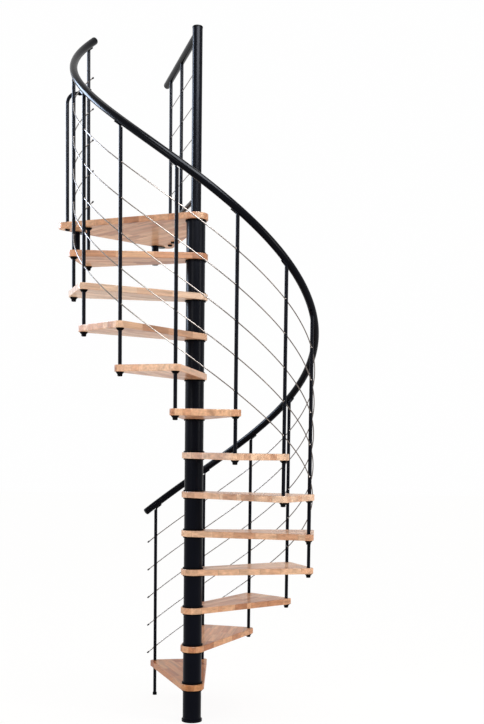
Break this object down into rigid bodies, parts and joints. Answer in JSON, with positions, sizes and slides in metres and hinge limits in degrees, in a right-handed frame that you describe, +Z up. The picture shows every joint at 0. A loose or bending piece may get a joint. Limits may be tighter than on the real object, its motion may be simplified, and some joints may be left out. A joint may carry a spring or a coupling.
{
  "type": "spiral staircase",
  "caption": "Spiral staircase with wooden wedge treads on a black spacer column, steel balusters, wire infill, helical handrail and a guarded platform at the top.",
  "frame": {"origin": "centre of the floor flange's underside, on the column axis", "axes": "+Z up along the column; the flight climbs clockwise seen from above; the picture looks along +Y"},
  "size_m": [1.5276, 1.5681, 4.0021],
  "materials": {
    "black_steel": "satin powder coat",
    "black_rail": "satin plastic over a tube",
    "black_plastic": "moulded, matt",
    "beech": "finger-jointed, clear lacquer",
    "stainless": "drawn wire"
  },
  "bodies": {
    "root": {"baluster_00": "black_steel", "baluster_01": "black_steel", "baluster_02": "black_steel", "baluster_03": "black_steel", "baluster_04": "black_steel", "baluster_05": "black_steel", "baluster_06": "black_steel", "baluster_07": "black_steel", "baluster_08": "black_steel", "baluster_09": "black_steel", "baluster_10": "black_steel", "baluster_11": "black_steel", "baluster_12": "black_steel", "baluster_collars": "black_plastic", "baluster_feet": "black_plastic", "center_pole": "black_steel", "column_spacers": "black_steel", "floor_flange": "black_steel", "guard_balusters": "black_steel", "guard_rails": "black_rail", "guard_wires": "stainless", "handrail": "black_rail", "handrail_caps": "black_plastic", "handrail_saddles": "black_steel", "hoop_clamp": "black_plastic", "infill_wires": "stainless", "landing_hoop": "black_steel", "newel_cap": "black_plastic", "newel_post": "black_steel", "platform": "beech", "platform_brackets": "black_steel", "spacer_rings": "black_plastic", "tread_01": "beech", "tread_02": "beech", "tread_03": "beech", "tread_04": "beech", "tread_05": "beech", "tread_06": "beech", "tread_07": "beech", "tread_08": "beech", "tread_09": "beech", "tread_10": "beech", "tread_11": "beech", "tread_12": "beech", "wire_caps": "black_plastic"}
  },
  "joints": []
}
